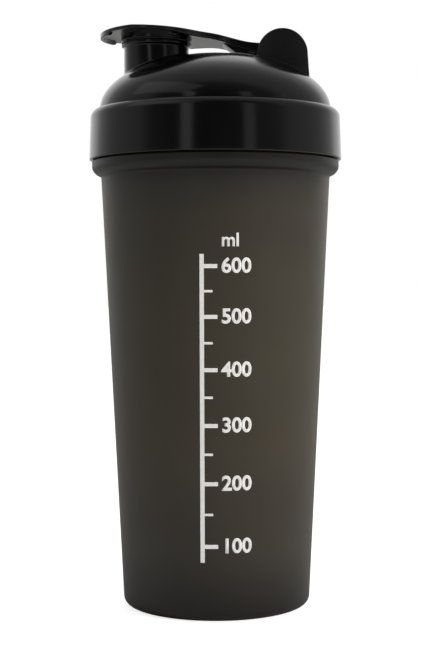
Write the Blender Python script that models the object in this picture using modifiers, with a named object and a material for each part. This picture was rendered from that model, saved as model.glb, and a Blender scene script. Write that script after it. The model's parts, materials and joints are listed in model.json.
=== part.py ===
"""Protein shaker bottle: smoked cup, screw lid with a spout, and a hinged flip cap.

Frame: +Z up, origin at the centre of the base. The spout is on the -X side, the
flip cap's hinge on the +X side. Sizes are in metres, stated through MM.
"""
import math

import bmesh
import bpy
from mathutils import Matrix

MM = 0.001
OBJECT_NAME = "shaker_bottle"

# Resolution of round pieces
ROUND_STEPS = 48
SMALL_STEPS = 32
PIN_STEPS = 20
DOME_STEPS = 8
ARM_STEPS = 14

# Small chamfer that breaks a moulded edge, and how deep a joined piece is buried
CHAMFER = 0.4 * MM
BURIED = 0.5 * MM

# Gap kept between neighbouring pieces
GAP = 0.3 * MM

# Cup
CUP_FOOT_RADIUS = 36.67 * MM
CUP_TAPER = math.radians(2.95)
CUP_WALL = 1.8 * MM
CUP_CORNER = 3.8 * MM
CUP_FOOT_RING = 2.7 * MM
CUP_FOOT_RECESS = 1.4 * MM
CUP_FLOOR_Z = 3.6 * MM
CUP_SIDE_TOP_Z = 168.0 * MM
BEAD_RADIUS = 49.0 * MM
BEAD_CORNER = 5.0 * MM
BEAD_TOP_Z = 175.0 * MM
BEAD_LAND = 1.0 * MM
NECK_RADIUS = 45.8 * MM
NECK_BORE = 44.0 * MM
RIM_Z = 190.5 * MM
RIM_ROUND = 0.6 * MM

# Screw thread, right-handed, one start
THREAD_LEAD = 6.0 * MM
THREAD_ROOT_WIDTH = 3.0 * MM
THREAD_CREST_WIDTH = 1.2 * MM
THREAD_DEPTH = 1.5 * MM
THREAD_STEPS_PER_TURN = 32
NECK_THREAD_Z = 178.5 * MM
NECK_THREAD_TURNS = 1.58
LID_THREAD_DROP = 2.1 * MM
LID_THREAD_FIRST_TURN = 0.17
LID_THREAD_LAST_TURN = 1.34

# Lid
SKIRT_RADIUS = 50.0 * MM
SKIRT_TOP_RADIUS = 49.5 * MM
SKIRT_BORE = 47.9 * MM
SKIRT_BOTTOM_Z = 175.4 * MM
SHOULDER_CORNER = 3.6 * MM
SHOULDER_Z = 195.6 * MM
ROOF_Z = 192.5 * MM
DOME_RADIUS = 45.9 * MM
DOME_HEIGHT = 22.2 * MM
DOME_BASE_Z = 195.3 * MM
DOME_WALL = 2.2 * MM
CLIP_RING_RADIUS = 43.3 * MM
CLIP_RING_BORE = 41.4 * MM
CLIP_RING_Z = 186.0 * MM
CLIP_RING_TOP_Z = 193.8 * MM
CLIP_BEAD_BORE = 40.7 * MM
CLIP_BEAD_HEIGHT = 1.0 * MM

# Spout
SPOUT_X = -23.3 * MM
SPOUT_RADIUS = 12.9 * MM
SPOUT_BORE = 10.2 * MM
SPOUT_RIM_RADIUS = 13.9 * MM
SPOUT_RIM_Z = 220.6 * MM
SPOUT_TOP_Z = 222.2 * MM
SPOUT_ROOT_Z = 208.0 * MM
SPOUT_BORE_DEPTH = 40.0 * MM

# Hinge
PIN_X = 26.3 * MM
PIN_Z = 217.4 * MM
PIN_RADIUS = 2.0 * MM
PIN_HALF_LENGTH = 12.1 * MM
KNUCKLE_RADIUS = 3.4 * MM
KNUCKLE_HALF_WIDTH = 9.1 * MM
EAR_INNER_Y = 9.5 * MM
EAR_OUTER_Y = 14.2 * MM
EAR_ARCH_RADIUS = 9.9 * MM
EAR_ARCH_Z = 216.1 * MM
EAR_FOOT_Z = 203.0 * MM
EAR_FOOT_SPREAD = 0.9 * MM
EAR_EDGE_ROUND = 1.3 * MM

# Flip cap
PLATE_RADIUS = 22.3 * MM
PLATE_TOP_Z = 226.5 * MM
PLATE_THICKNESS = 1.4 * MM
PLATE_EDGE_ROUND = 0.5 * MM
PLATE_SLOPE = 0.065
TIP_SLOPE = 0.045
PLATE_SLOPE_START_X = -32.6 * MM
ARM_BEND_DROP = 2.2 * MM
ARM_BEND_START_X = -2.0 * MM
ARM_BEND_LENGTH = 18.0 * MM
RAIL_GROWTH = 0.9 * MM
RAIL_START_X = -20.0 * MM
RAIL_GROWTH_LENGTH = 11.0 * MM
HEEL_GROWTH = 1.7 * MM
HEEL_START_X = 2.0 * MM
HEEL_GROWTH_LENGTH = 15.0 * MM
ARM_NECK_START_X = -8.85 * MM
ARM_NECK_END_X = 12.0 * MM
LIP_Z = 223.6 * MM
LIP_WALL = 1.5 * MM
LIP_INSET = 0.2 * MM
LIP_END_X = -41.3 * MM
CLOSURE_RADIUS = 14.0 * MM
CLOSURE_BORE = 12.4 * MM
CLOSURE_Z = 222.7 * MM
CLOSURE_CEILING_Z = 224.0 * MM
CLOSURE_SEAT_DEPTH = 3.0 * MM
RIB_HALF_WIDTH = 6.0 * MM
RIB_FRONT_X = 0.6 * MM
RIB_LOW_X = 7.8 * MM
RIB_DOME_GAP = 0.9 * MM
RIB_COVER = 1.0 * MM

# Soft seals
LID_SEAL_HEIGHT = 1.4 * MM
LID_SEAL_PLAY = 0.4 * MM
PLUG_RADIUS = 9.6 * MM
PLUG_BOTTOM_Z = 218.2 * MM
PLUG_WALL = 1.6 * MM
PLUG_TAPER = 0.4 * MM
PLUG_HOLLOW_DEPTH = 3.4 * MM

# Mixing grid
GRID_RADIUS = 41.1 * MM
GRID_BORDER = 38.6 * MM
GRID_Z = 187.4 * MM
GRID_THICKNESS = 1.6 * MM
GRID_WALL = 1.5 * MM
GRID_WALL_TOP_Z = 191.3 * MM
GRID_HOLE_RADIUS = 3.3 * MM
GRID_PITCH = 9.2 * MM
GRID_HOLE_SIDES = 8
GRID_EDGE_LAND = 0.6 * MM


# ---------------------------------------------------------------- scene set-up

def clear_scene():
    for thing in list(bpy.data.objects):
        bpy.data.objects.remove(thing, do_unlink=True)


def new_collection(name):
    collection = bpy.data.collections.new(name)
    bpy.context.scene.collection.children.link(collection)
    return collection


def plastic(name, colour, roughness):
    material = bpy.data.materials.new(name)
    material.use_nodes = True
    shader = material.node_tree.nodes["Principled BSDF"]
    shader.inputs["Base Color"].default_value = (*colour, 1.0)
    shader.inputs["Roughness"].default_value = roughness
    shader.inputs["Metallic"].default_value = 0.0
    material.diffuse_color = (*colour, 1.0)
    return material


# ---------------------------------------------------------------- shape helpers

def arc(centre_x, centre_y, radius, start_deg, end_deg, count):
    """Points along an arc, both ends included."""
    points = []
    for index in range(count + 1):
        angle = math.radians(start_deg + (end_deg - start_deg) * index / count)
        points.append((centre_x + radius * math.cos(angle), centre_y + radius * math.sin(angle)))
    return points


def smooth_step(value):
    value = min(max(value, 0.0), 1.0)
    return value * value * (3.0 - 2.0 * value)


def weld(mesh):
    edit = bmesh.new()
    edit.from_mesh(mesh)
    bmesh.ops.remove_doubles(edit, verts=edit.verts, dist=0.001 * MM)
    bmesh.ops.recalc_face_normals(edit, faces=edit.faces)
    edit.to_mesh(mesh)
    edit.free()


def evaluated_mesh(source):
    """A plain mesh of an object's curve or modifiers; the source object is removed."""
    bpy.context.view_layer.update()
    graph = bpy.context.evaluated_depsgraph_get()
    mesh = bpy.data.meshes.new_from_object(source.evaluated_get(graph))
    bpy.data.objects.remove(source, do_unlink=True)
    weld(mesh)
    return mesh


def turned(name, profile, closed, steps, collection):
    """A solid of revolution about Z. The profile runs down its outer side."""
    mesh = bpy.data.meshes.new(name)
    edges = [(index, index + 1) for index in range(len(profile) - 1)]
    if closed:
        edges.append((len(profile) - 1, 0))
    mesh.from_pydata([(radius, 0.0, height) for radius, height in profile], edges, [])
    solid = bpy.data.objects.new(name, mesh)
    collection.objects.link(solid)
    screw = solid.modifiers.new("turn", "SCREW")
    screw.axis = "Z"
    screw.angle = math.tau
    screw.steps = steps
    screw.render_steps = steps
    screw.use_merge_vertices = True
    screw.merge_threshold = 0.01 * MM
    screw.use_normal_calculate = True
    result = bpy.data.objects.new(name, evaluated_mesh(solid))
    result.name = name
    collection.objects.link(result)
    return result


def cut_outline(name, outlines, half_thickness, collection, matrix):
    """A flat plate from one or more outlines (outer edge first, then holes)."""
    curve = bpy.data.curves.new(name, "CURVE")
    curve.dimensions = "2D"
    curve.fill_mode = "BOTH"
    curve.extrude = half_thickness
    for outline in outlines:
        spline = curve.splines.new("POLY")
        spline.points.add(len(outline) - 1)
        for point, (across, along) in zip(spline.points, outline):
            point.co = (across, along, 0.0, 1.0)
        spline.use_cyclic_u = True
    flat = bpy.data.objects.new(name, curve)
    collection.objects.link(flat)
    mesh = evaluated_mesh(flat)
    mesh.transform(matrix)
    plate = bpy.data.objects.new(name, mesh)
    plate.name = name
    collection.objects.link(plate)
    return plate


def upright(middle_y):
    """Matrix that stands a flat XY outline up in the XZ plane at middle_y."""
    return Matrix.Translation((0.0, middle_y, 0.0)) @ Matrix.Rotation(math.pi / 2, 4, "X")


def cylinder(name, radius, depth, centre, along_y, steps, collection):
    edit = bmesh.new()
    bmesh.ops.create_cone(edit, cap_ends=True, segments=steps, radius1=radius, radius2=radius, depth=depth)
    mesh = bpy.data.meshes.new(name)
    edit.to_mesh(mesh)
    edit.free()
    if along_y:
        mesh.transform(Matrix.Rotation(math.pi / 2, 4, "X"))
    mesh.transform(Matrix.Translation(centre))
    solid = bpy.data.objects.new(name, mesh)
    collection.objects.link(solid)
    return solid


def helix_ridge(name, root_radius, outward, start_z, first_turn, last_turn, collection):
    """A tapered-end thread ridge on a wall; outward is +1 outside a neck, -1 inside a skirt."""
    edit = bmesh.new()
    steps = round(THREAD_STEPS_PER_TURN * (last_turn - first_turn))
    rings = []
    for index in range(steps + 1):
        share = index / steps
        turn = first_turn + (last_turn - first_turn) * share
        angle = math.tau * turn
        middle = start_z + THREAD_LEAD * turn
        fade = min(1.0, 8.0 * min(share, 1.0 - share) + 0.15)
        root = root_radius - outward * BURIED
        crest = root_radius + outward * THREAD_DEPTH * fade
        corners = [
            (root, middle - THREAD_ROOT_WIDTH / 2),
            (crest, middle - THREAD_CREST_WIDTH / 2),
            (crest, middle + THREAD_CREST_WIDTH / 2),
            (root, middle + THREAD_ROOT_WIDTH / 2),
        ]
        ring = []
        for radius, height in corners:
            place = (radius * math.cos(angle), radius * math.sin(angle), height)
            ring.append(edit.verts.new(place))
        rings.append(ring)
    for before, after in zip(rings, rings[1:]):
        for corner in range(4):
            following = (corner + 1) % 4
            edit.faces.new((before[corner], before[following], after[following], after[corner]))
    edit.faces.new(rings[0])
    edit.faces.new(rings[-1])
    bmesh.ops.recalc_face_normals(edit, faces=edit.faces)
    mesh = bpy.data.meshes.new(name)
    edit.to_mesh(mesh)
    edit.free()
    ridge = bpy.data.objects.new(name, mesh)
    collection.objects.link(ridge)
    return ridge


def boolean(target, tool, operation):
    tool.hide_render = True
    tool.display_type = "WIRE"
    step = target.modifiers.new(f"{operation.lower()}_{tool.name}", "BOOLEAN")
    step.operation = operation
    step.solver = "EXACT"
    step.object = tool


def round_edges(solid, width, segments):
    bevel = solid.modifiers.new("round_edges", "BEVEL")
    bevel.width = width
    bevel.segments = segments
    bevel.limit_method = "ANGLE"
    bevel.angle_limit = math.radians(50)


def finish(solid, material):
    solid.data.materials.clear()
    solid.data.materials.append(material)
    solid.data.shade_smooth()
    solid.data.set_sharp_from_angle(angle=math.radians(35))
    return solid


def dome_height(distance):
    """Height of the lid's outer dome at a distance from the bottle's axis."""
    return DOME_BASE_Z + DOME_HEIGHT * math.sqrt(max(0.0, 1.0 - (distance / DOME_RADIUS) ** 2))


# ---------------------------------------------------------------- pieces

def cup_outer_radius(height):
    return CUP_FOOT_RADIUS + height * math.tan(CUP_TAPER)


def make_cup(parts, tools):
    """Tapered beaker: foot ring, side wall, bead under the lid, threaded neck."""
    lean = math.degrees(CUP_TAPER)
    corner_z = CUP_CORNER
    corner_r = cup_outer_radius(corner_z) - CUP_CORNER / math.cos(CUP_TAPER)
    inner_corner = CUP_CORNER
    inner_z = CUP_FLOOR_Z + inner_corner
    inner_r = cup_outer_radius(inner_z) - CUP_WALL - inner_corner
    bead_centre_r = BEAD_RADIUS - BEAD_CORNER
    profile = [(0.0, CUP_FLOOR_Z)]
    profile += arc(inner_r, inner_z, inner_corner, -90, -lean, 3)
    profile += [(cup_outer_radius(CUP_SIDE_TOP_Z) - CUP_WALL, CUP_SIDE_TOP_Z)]
    profile += [(NECK_BORE, BEAD_TOP_Z)]
    profile += arc(NECK_BORE + RIM_ROUND, RIM_Z - RIM_ROUND, RIM_ROUND, 180, 90, 2)
    profile += arc(NECK_RADIUS - RIM_ROUND, RIM_Z - RIM_ROUND, RIM_ROUND, 90, 0, 2)
    profile += [(NECK_RADIUS, BEAD_TOP_Z)]
    profile += [(BEAD_RADIUS - CHAMFER, BEAD_TOP_Z)]
    profile += [(BEAD_RADIUS, BEAD_TOP_Z - CHAMFER)]
    profile += arc(bead_centre_r, BEAD_TOP_Z - BEAD_LAND, BEAD_CORNER, 0, -66, 4)
    profile += [(cup_outer_radius(CUP_SIDE_TOP_Z), CUP_SIDE_TOP_Z)]
    profile += arc(corner_r, corner_z, CUP_CORNER, -lean, -90, 5)
    profile += [(corner_r - CUP_FOOT_RING, 0.0)]
    profile += [(corner_r - CUP_FOOT_RING - CUP_FOOT_RECESS, CUP_FOOT_RECESS)]
    profile += [(0.0, CUP_FOOT_RECESS)]
    cup = turned("cup", profile, False, ROUND_STEPS, parts)
    ridge = helix_ridge("neck_thread", NECK_RADIUS, 1.0, NECK_THREAD_Z, 0.0, NECK_THREAD_TURNS, tools)
    boolean(cup, ridge, "UNION")
    return finish(cup, plastic("smoked_polypropylene", (0.050, 0.044, 0.030), 0.35))


def dome_arc(wall, reach_deg, count):
    """Dome profile from its top down to its base; wall draws it in for the inner side."""
    width = DOME_RADIUS - wall
    height = DOME_HEIGHT - wall
    points = [(0.0, DOME_BASE_Z + height)]
    for index in range(1, count + 1):
        angle = math.radians(90 - reach_deg * index / count)
        points.append((width * math.cos(angle), DOME_BASE_Z + height * math.sin(angle)))
    return points


def lid_shell(parts):
    """Skirt, shoulder and dome, with the ring that holds the mixing grid."""
    corner_r = SKIRT_TOP_RADIUS - SHOULDER_CORNER
    corner_z = SHOULDER_Z - SHOULDER_CORNER
    profile = dome_arc(0.0, 88, DOME_STEPS)
    profile += arc(corner_r, corner_z, SHOULDER_CORNER, 80, 0, 4)
    profile += [(SKIRT_RADIUS, SKIRT_BOTTOM_Z + CHAMFER)]
    profile += [(SKIRT_RADIUS - CHAMFER, SKIRT_BOTTOM_Z)]
    profile += [(SKIRT_BORE + CHAMFER, SKIRT_BOTTOM_Z)]
    profile += [(SKIRT_BORE, SKIRT_BOTTOM_Z + CHAMFER)]
    profile += [(SKIRT_BORE, ROOF_Z)]
    profile += [(CLIP_RING_RADIUS, ROOF_Z)]
    profile += [(CLIP_RING_RADIUS, CLIP_RING_Z)]
    profile += [(CLIP_BEAD_BORE + CHAMFER, CLIP_RING_Z)]
    profile += [(CLIP_BEAD_BORE, CLIP_RING_Z + CLIP_BEAD_HEIGHT / 2)]
    profile += [(CLIP_RING_BORE, CLIP_RING_Z + CLIP_BEAD_HEIGHT)]
    profile += [(CLIP_RING_BORE, CLIP_RING_TOP_Z)]
    profile += reversed(dome_arc(DOME_WALL, 86, DOME_STEPS - 1))
    return turned("lid", profile, False, ROUND_STEPS, parts)


def ear(name, side, tools):
    """One hinge ear: an arched plate that stands on the dome."""
    low_left = PIN_X - EAR_ARCH_RADIUS
    low_right = PIN_X + EAR_ARCH_RADIUS
    outline = [(low_left, EAR_FOOT_Z), (low_right + EAR_FOOT_SPREAD, EAR_FOOT_Z)]
    outline += arc(PIN_X, EAR_ARCH_Z, EAR_ARCH_RADIUS, 0, 180, 14)
    half = (EAR_OUTER_Y - EAR_INNER_Y) / 2
    middle = side * (EAR_INNER_Y + half)
    plate = cut_outline(name, [outline], half, tools, upright(middle))
    round_edges(plate, EAR_EDGE_ROUND, 2)
    return plate


def make_lid(parts, tools):
    """Screw lid: turned shell with thread, spout, through bore and two hinge ears."""
    lid = lid_shell(parts)
    thread = helix_ridge(
        "lid_thread",
        SKIRT_BORE,
        -1.0,
        NECK_THREAD_Z - LID_THREAD_DROP,
        LID_THREAD_FIRST_TURN,
        LID_THREAD_LAST_TURN,
        tools,
    )
    boolean(lid, thread, "UNION")
    spout_profile = [
        (0.0, SPOUT_TOP_Z),
        (SPOUT_RIM_RADIUS - CHAMFER, SPOUT_TOP_Z),
        (SPOUT_RIM_RADIUS, SPOUT_TOP_Z - CHAMFER),
        (SPOUT_RIM_RADIUS, SPOUT_RIM_Z + CHAMFER),
        (SPOUT_RADIUS, SPOUT_RIM_Z - CHAMFER),
        (SPOUT_RADIUS, SPOUT_ROOT_Z),
        (0.0, SPOUT_ROOT_Z),
    ]
    spout = turned("spout_tube", spout_profile, False, SMALL_STEPS, tools)
    spout.location.x = SPOUT_X
    for side in (-1.0, 1.0):
        boolean(lid, ear(f"ear_{'near' if side < 0 else 'far'}", side, tools), "UNION")
    boolean(lid, spout, "UNION")
    under_dome_profile = dome_arc(DOME_WALL, 86, DOME_STEPS - 1)
    under_dome_profile += [(CLIP_RING_BORE, CLIP_RING_TOP_Z), (0.0, CLIP_RING_TOP_Z)]
    under_dome = turned("under_dome", under_dome_profile, False, ROUND_STEPS, tools)
    boolean(lid, under_dome, "DIFFERENCE")
    bore_centre = (SPOUT_X, 0.0, SPOUT_TOP_Z + BURIED - SPOUT_BORE_DEPTH / 2)
    bore = cylinder("spout_bore", SPOUT_BORE, SPOUT_BORE_DEPTH, bore_centre, False, SMALL_STEPS, tools)
    boolean(lid, bore, "DIFFERENCE")
    socket_half = PIN_HALF_LENGTH + GAP
    socket = cylinder(
        "pin_sockets",
        PIN_RADIUS + GAP,
        2.0 * socket_half,
        (PIN_X, 0.0, PIN_Z),
        True,
        PIN_STEPS,
        tools,
    )
    boolean(lid, socket, "DIFFERENCE")
    return finish(lid, plastic("gloss_black_polypropylene", (0.006, 0.006, 0.006), 0.16))


def arm_top(along):
    """Height of the flip cap's top face: nearly flat over the spout, then bent down to the hinge."""
    slope = PLATE_SLOPE * max(0.0, along - PLATE_SLOPE_START_X)
    slope += TIP_SLOPE * max(0.0, PLATE_SLOPE_START_X - along)
    bend = ARM_BEND_DROP * smooth_step((along - ARM_BEND_START_X) / ARM_BEND_LENGTH)
    return PLATE_TOP_Z - slope - bend


def arm_under(along):
    """Height of the underside; the arm grows thicker towards the hinge."""
    rail = RAIL_GROWTH * smooth_step((along - RAIL_START_X) / RAIL_GROWTH_LENGTH)
    heel = HEEL_GROWTH * smooth_step((along - HEEL_START_X) / HEEL_GROWTH_LENGTH)
    return arm_top(along) - PLATE_THICKNESS - rail - heel


def plan_half_width(along):
    """Half width of the flip cap's arm between the round plate and the ears."""
    share = (along - ARM_NECK_START_X) / (ARM_NECK_END_X - ARM_NECK_START_X)
    start = math.sqrt(PLATE_RADIUS ** 2 - (ARM_NECK_START_X - SPOUT_X) ** 2)
    slope = -(ARM_NECK_START_X - SPOUT_X) / start * (ARM_NECK_END_X - ARM_NECK_START_X)
    share = min(max(share, 0.0), 1.0)
    stay = 2 * share ** 3 - 3 * share ** 2 + 1
    lean = share ** 3 - 2 * share ** 2 + share
    return stay * start + lean * slope + (1 - stay) * KNUCKLE_HALF_WIDTH


def plan_outline():
    """Outline of plate and arm seen from above."""
    count = 6
    side = []
    for index in range(count + 1):
        along = ARM_NECK_START_X + (ARM_NECK_END_X - ARM_NECK_START_X) * index / count
        side.append((along, plan_half_width(along)))
    side.append((PIN_X, KNUCKLE_HALF_WIDTH))
    start_deg = math.degrees(math.acos((ARM_NECK_START_X - SPOUT_X) / PLATE_RADIUS))
    round_end = arc(SPOUT_X, 0.0, PLATE_RADIUS, start_deg, 360 - start_deg, 26)
    upper = [(along, half) for along, half in reversed(side)]
    lower = [(along, -half) for along, half in side]
    return upper[:-1] + round_end + lower[1:]


def arm_stations(count):
    """Even steps along X from where the plate starts to slope to the hinge axis."""
    reach = PIN_X - PLATE_SLOPE_START_X
    return [PLATE_SLOPE_START_X + reach * index / count for index in range(count + 1)]


def side_outline():
    """Outline of plate and arm seen from the side, in X and Z."""
    stations = [SPOUT_X - PLATE_RADIUS - BURIED] + arm_stations(ARM_STEPS)
    top = [(along, arm_top(along)) for along in stations]
    under = [(along, arm_under(along)) for along in reversed(stations)]
    return top + under


def below_top_outline():
    """Region just under the arm's top face, seen from the side, in X and Z."""
    start = SPOUT_X - PLATE_RADIUS
    top = [(along, arm_top(along) - CHAMFER) for along in [start] + arm_stations(ARM_STEPS)]
    return top + [(PIN_X, PIN_Z), (start, PIN_Z)]


def rib_outline():
    """Outline of the stiffening rib under the arm, in X and Z."""
    count = 5
    end = PIN_X - PIN_RADIUS
    low = []
    for index in range(count + 1):
        along = RIB_LOW_X + (end - RIB_LOW_X) * index / count
        low.append((along, dome_height(along) + RIB_DOME_GAP))
    top = [(along, arm_top(along) - RIB_COVER) for along in (end, ARM_NECK_END_X)]
    return [(RIB_FRONT_X, arm_top(RIB_FRONT_X) - RIB_COVER)] + low + top


def make_flip_cap(parts, tools, hinge):
    """Spout closure: round plate with a finger lip, arm, rib, knuckle and trunnion pins."""
    plan_middle = Matrix.Translation((0.0, 0.0, PIN_Z))
    plan_reach = PLATE_TOP_Z - PIN_Z + BURIED
    cap = cut_outline("flip_cap", [plan_outline()], plan_reach, parts, plan_middle)
    side = cut_outline("cap_side", [side_outline()], PLATE_RADIUS + BURIED, tools, upright(0.0))
    boolean(cap, side, "INTERSECT")
    round_edges(cap, PLATE_EDGE_ROUND, 2)

    join_z = arm_under(LIP_END_X) + BURIED
    lip_profile = [
        (PLATE_RADIUS - PLATE_EDGE_ROUND, join_z),
        (PLATE_RADIUS - LIP_INSET, LIP_Z + CHAMFER),
        (PLATE_RADIUS - LIP_INSET - CHAMFER, LIP_Z),
        (PLATE_RADIUS - LIP_WALL, LIP_Z),
        (PLATE_RADIUS - LIP_WALL - LIP_INSET, join_z),
    ]
    lip = turned("cap_lip", lip_profile, True, ROUND_STEPS, tools)
    lip.location.x = SPOUT_X
    reach_start = SPOUT_X - PLATE_RADIUS - BURIED
    reach = [
        (reach_start, CLOSURE_Z),
        (LIP_END_X, CLOSURE_Z),
        (LIP_END_X, PLATE_TOP_Z),
        (reach_start, PLATE_TOP_Z),
    ]
    block = cut_outline("lip_reach", [reach], PLATE_RADIUS, tools, upright(0.0))
    boolean(lip, block, "INTERSECT")
    boolean(cap, lip, "UNION")

    closure_profile = [
        (0.0, PLATE_TOP_Z),
        (CLOSURE_RADIUS, PLATE_TOP_Z),
        (CLOSURE_RADIUS, CLOSURE_Z + CHAMFER),
        (CLOSURE_RADIUS - CHAMFER, CLOSURE_Z),
        (0.0, CLOSURE_Z),
    ]
    closure = turned("closure_skirt", closure_profile, False, SMALL_STEPS, tools)
    closure.location.x = SPOUT_X
    below_top = cut_outline("below_arm_top", [below_top_outline()], PLATE_RADIUS, tools, upright(0.0))
    boolean(closure, below_top, "INTERSECT")
    boolean(cap, closure, "UNION")
    seat_centre = (SPOUT_X, 0.0, CLOSURE_CEILING_Z - CLOSURE_SEAT_DEPTH / 2)
    seat = cylinder("seal_seat", CLOSURE_BORE, CLOSURE_SEAT_DEPTH, seat_centre, False, SMALL_STEPS, tools)
    boolean(cap, seat, "DIFFERENCE")

    rib = cut_outline("cap_rib", [rib_outline()], RIB_HALF_WIDTH, tools, upright(0.0))
    boolean(cap, rib, "UNION")
    hinge_point = (PIN_X, 0.0, PIN_Z)
    knuckle = cylinder("cap_knuckle", KNUCKLE_RADIUS, 2 * KNUCKLE_HALF_WIDTH, hinge_point, True, PIN_STEPS, tools)
    boolean(cap, knuckle, "UNION")
    pins = cylinder("cap_pins", PIN_RADIUS, 2 * PIN_HALF_LENGTH, hinge_point, True, PIN_STEPS, tools)
    boolean(cap, pins, "UNION")
    finish(cap, plastic("gloss_black_cap_polypropylene", (0.007, 0.007, 0.007), 0.18))
    hang(cap, hinge)
    return cap


def make_lid_seal(parts):
    """Flat silicone gasket ring between the cup's rim and the lid's roof."""
    bottom = RIM_Z + GAP
    top = bottom + LID_SEAL_HEIGHT
    inner = CLIP_RING_RADIUS + LID_SEAL_PLAY
    outer = SKIRT_BORE - LID_SEAL_PLAY
    profile = [(outer, top), (outer, bottom), (inner, bottom), (inner, top)]
    seal = turned("lid_seal", profile, True, ROUND_STEPS, parts)
    return finish(seal, plastic("grey_silicone", (0.18, 0.18, 0.18), 0.55))


def make_spout_seal(parts, hinge):
    """Silicone plug held inside the closure skirt; its lower end goes into the spout."""
    top = CLOSURE_CEILING_Z - GAP
    flange = CLOSURE_BORE - GAP
    flange_bottom = SPOUT_TOP_Z + GAP
    hollow = PLUG_RADIUS - PLUG_WALL
    hollow_top = PLUG_BOTTOM_Z + PLUG_HOLLOW_DEPTH
    profile = [
        (0.0, top),
        (flange, top),
        (flange, flange_bottom),
        (PLUG_RADIUS, flange_bottom),
        (PLUG_RADIUS, PLUG_BOTTOM_Z + PLUG_WALL),
        (PLUG_RADIUS - PLUG_TAPER, PLUG_BOTTOM_Z),
        (hollow, PLUG_BOTTOM_Z),
        (hollow - PLUG_TAPER, hollow_top),
        (0.0, hollow_top),
    ]
    seal = turned("spout_seal", profile, False, SMALL_STEPS, parts)
    seal.data.transform(Matrix.Translation((SPOUT_X, 0.0, 0.0)))
    finish(seal, plastic("grey_silicone_plug", (0.20, 0.20, 0.20), 0.55))
    hang(seal, hinge)
    return seal


def grid_holes():
    """Round holes in a triangular pattern, as polygons."""
    holes = []
    row_step = GRID_PITCH * math.sqrt(3.0) / 2.0
    reach = int(GRID_BORDER / row_step) + 1
    limit = GRID_BORDER - GRID_HOLE_RADIUS - GRID_EDGE_LAND
    for row in range(-reach, reach + 1):
        for column in range(-reach - 1, reach + 2):
            centre_x = (column + 0.5 * (row % 2)) * GRID_PITCH
            centre_y = row * row_step
            if math.hypot(centre_x, centre_y) > limit:
                continue
            around = arc(centre_x, centre_y, GRID_HOLE_RADIUS, 0, 360, GRID_HOLE_SIDES)
            holes.append(around[:-1])
    return holes


def make_mixing_grid(parts, tools):
    """Perforated strainer disc with a short wall, held by the lid's clip ring."""
    edge = arc(0.0, 0.0, GRID_BORDER, 0, 360, ROUND_STEPS)[:-1]
    middle = Matrix.Translation((0.0, 0.0, GRID_Z + GRID_THICKNESS / 2))
    disc = cut_outline("grid_disc", [edge] + grid_holes(), GRID_THICKNESS / 2, tools, middle)
    profile = [
        (GRID_RADIUS - CHAMFER, GRID_WALL_TOP_Z),
        (GRID_RADIUS, GRID_WALL_TOP_Z - CHAMFER),
        (GRID_RADIUS, GRID_Z + CHAMFER),
        (GRID_RADIUS - CHAMFER, GRID_Z),
        (GRID_BORDER - 2 * BURIED, GRID_Z),
        (GRID_BORDER - 2 * BURIED, GRID_Z + GRID_THICKNESS),
        (GRID_RADIUS - GRID_WALL, GRID_Z + GRID_THICKNESS),
        (GRID_RADIUS - GRID_WALL, GRID_WALL_TOP_Z),
    ]
    grid = turned("mixing_grid", profile, True, ROUND_STEPS, parts)
    boolean(grid, disc, "UNION")
    return finish(grid, plastic("black_grid_polypropylene", (0.010, 0.010, 0.010), 0.35))


def hang(solid, hinge):
    """Parent a piece of the flip cap to the empty on the hinge axis."""
    solid.parent = hinge
    solid.matrix_parent_inverse = hinge.matrix_world.inverted()


def make_hinge(parts):
    """Empty on the flip cap's hinge axis."""
    hinge = bpy.data.objects.new("flip_hinge_axis", None)
    hinge.location = (PIN_X, 0.0, PIN_Z)
    parts.objects.link(hinge)
    bpy.context.view_layer.update()
    return hinge


clear_scene()
PARTS = new_collection(OBJECT_NAME)
TOOLS = new_collection("cutters")
HINGE = make_hinge(PARTS)
make_cup(PARTS, TOOLS)
make_lid(PARTS, TOOLS)
make_lid_seal(PARTS)
make_mixing_grid(PARTS, TOOLS)
make_flip_cap(PARTS, TOOLS, HINGE)
make_spout_seal(PARTS, HINGE)
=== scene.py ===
import json
import math

import bmesh
import bpy
import mathutils
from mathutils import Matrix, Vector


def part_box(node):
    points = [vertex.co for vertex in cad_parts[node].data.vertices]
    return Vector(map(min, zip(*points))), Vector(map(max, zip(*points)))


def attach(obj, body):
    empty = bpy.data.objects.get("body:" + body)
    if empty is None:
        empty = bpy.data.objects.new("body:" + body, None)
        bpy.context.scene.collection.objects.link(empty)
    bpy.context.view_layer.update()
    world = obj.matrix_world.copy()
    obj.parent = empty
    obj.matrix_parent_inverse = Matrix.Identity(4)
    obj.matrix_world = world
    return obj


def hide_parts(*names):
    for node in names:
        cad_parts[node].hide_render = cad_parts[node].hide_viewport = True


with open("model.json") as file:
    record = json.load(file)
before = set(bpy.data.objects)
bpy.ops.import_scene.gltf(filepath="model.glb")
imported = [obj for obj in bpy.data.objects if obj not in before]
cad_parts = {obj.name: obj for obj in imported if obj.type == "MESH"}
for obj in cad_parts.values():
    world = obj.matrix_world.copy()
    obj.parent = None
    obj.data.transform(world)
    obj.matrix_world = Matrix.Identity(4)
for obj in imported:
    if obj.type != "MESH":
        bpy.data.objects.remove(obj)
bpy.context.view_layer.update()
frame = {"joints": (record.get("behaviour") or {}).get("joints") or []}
MM = 0.001

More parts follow.
